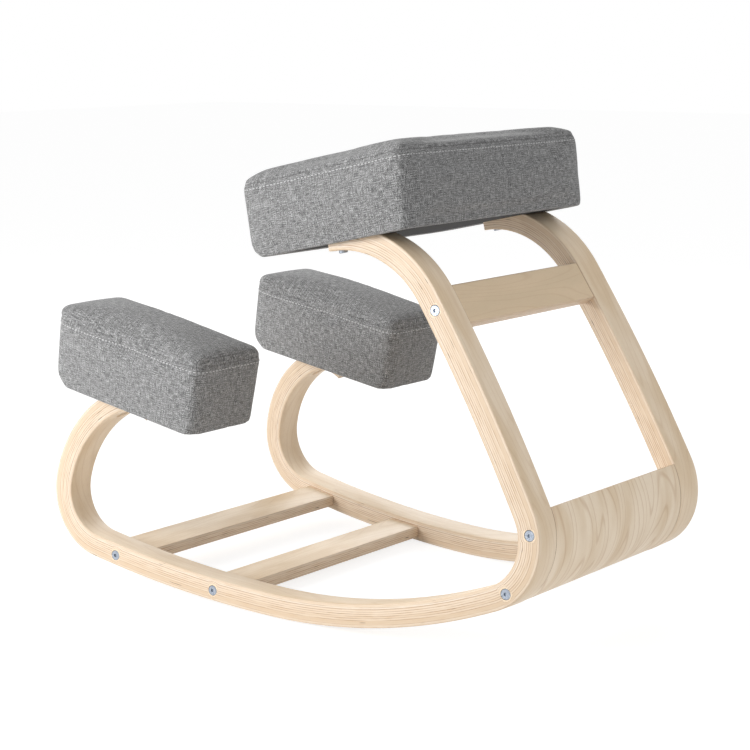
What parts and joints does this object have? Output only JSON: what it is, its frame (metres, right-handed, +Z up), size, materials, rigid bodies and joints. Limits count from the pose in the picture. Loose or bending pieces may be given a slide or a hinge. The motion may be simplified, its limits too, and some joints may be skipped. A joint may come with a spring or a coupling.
{
  "type": "kneeling chair",
  "caption": "Rocking kneeling chair: two bent birch side frames with curved rockers, a grey padded seat, two grey knee pads, a curved back panel and three cross boards",
  "frame": {"origin": "on the floor under the middle of the chair's bounding box", "axes": "+Z up; the sitter faces -Y, so the knee pads are toward -Y and the back panel toward +Y; +X is the sitter's left; +Y spans the chair's length"},
  "size_m": [0.4754, 0.722, 0.5599],
  "materials": {
    "birch_ply": "satin",
    "beech": "matte",
    "board_ply": "matte",
    "zinc_steel": "satin",
    "grey_fabric": "matte",
    "foam": "matte",
    "black_nonwoven": "matte"
  },
  "bodies": {
    "root": {"front_stretcher": "birch_ply", "left_barrel_nuts": "zinc_steel", "left_dowels": "beech", "left_frame_bolts": "zinc_steel", "left_knee_board": "board_ply", "left_knee_bolts": "zinc_steel", "left_knee_cover": "grey_fabric", "left_knee_dust_cover": "black_nonwoven", "left_knee_foam": "foam", "left_knee_tee_nuts": "zinc_steel", "left_knee_washers": "zinc_steel", "left_side_frame": "birch_ply", "lower_back_panel": "birch_ply", "rear_stretcher": "birch_ply", "right_barrel_nuts": "zinc_steel", "right_dowels": "beech", "right_frame_bolts": "zinc_steel", "right_knee_board": "board_ply", "right_knee_bolts": "zinc_steel", "right_knee_cover": "grey_fabric", "right_knee_dust_cover": "black_nonwoven", "right_knee_foam": "foam", "right_knee_tee_nuts": "zinc_steel", "right_knee_washers": "zinc_steel", "right_side_frame": "birch_ply", "seat_board": "board_ply", "seat_bolts": "zinc_steel", "seat_cover": "grey_fabric", "seat_dust_cover": "black_nonwoven", "seat_foam": "foam", "seat_tee_nuts": "zinc_steel", "seat_washers": "zinc_steel", "upper_back_rail": "birch_ply"}
  },
  "joints": []
}
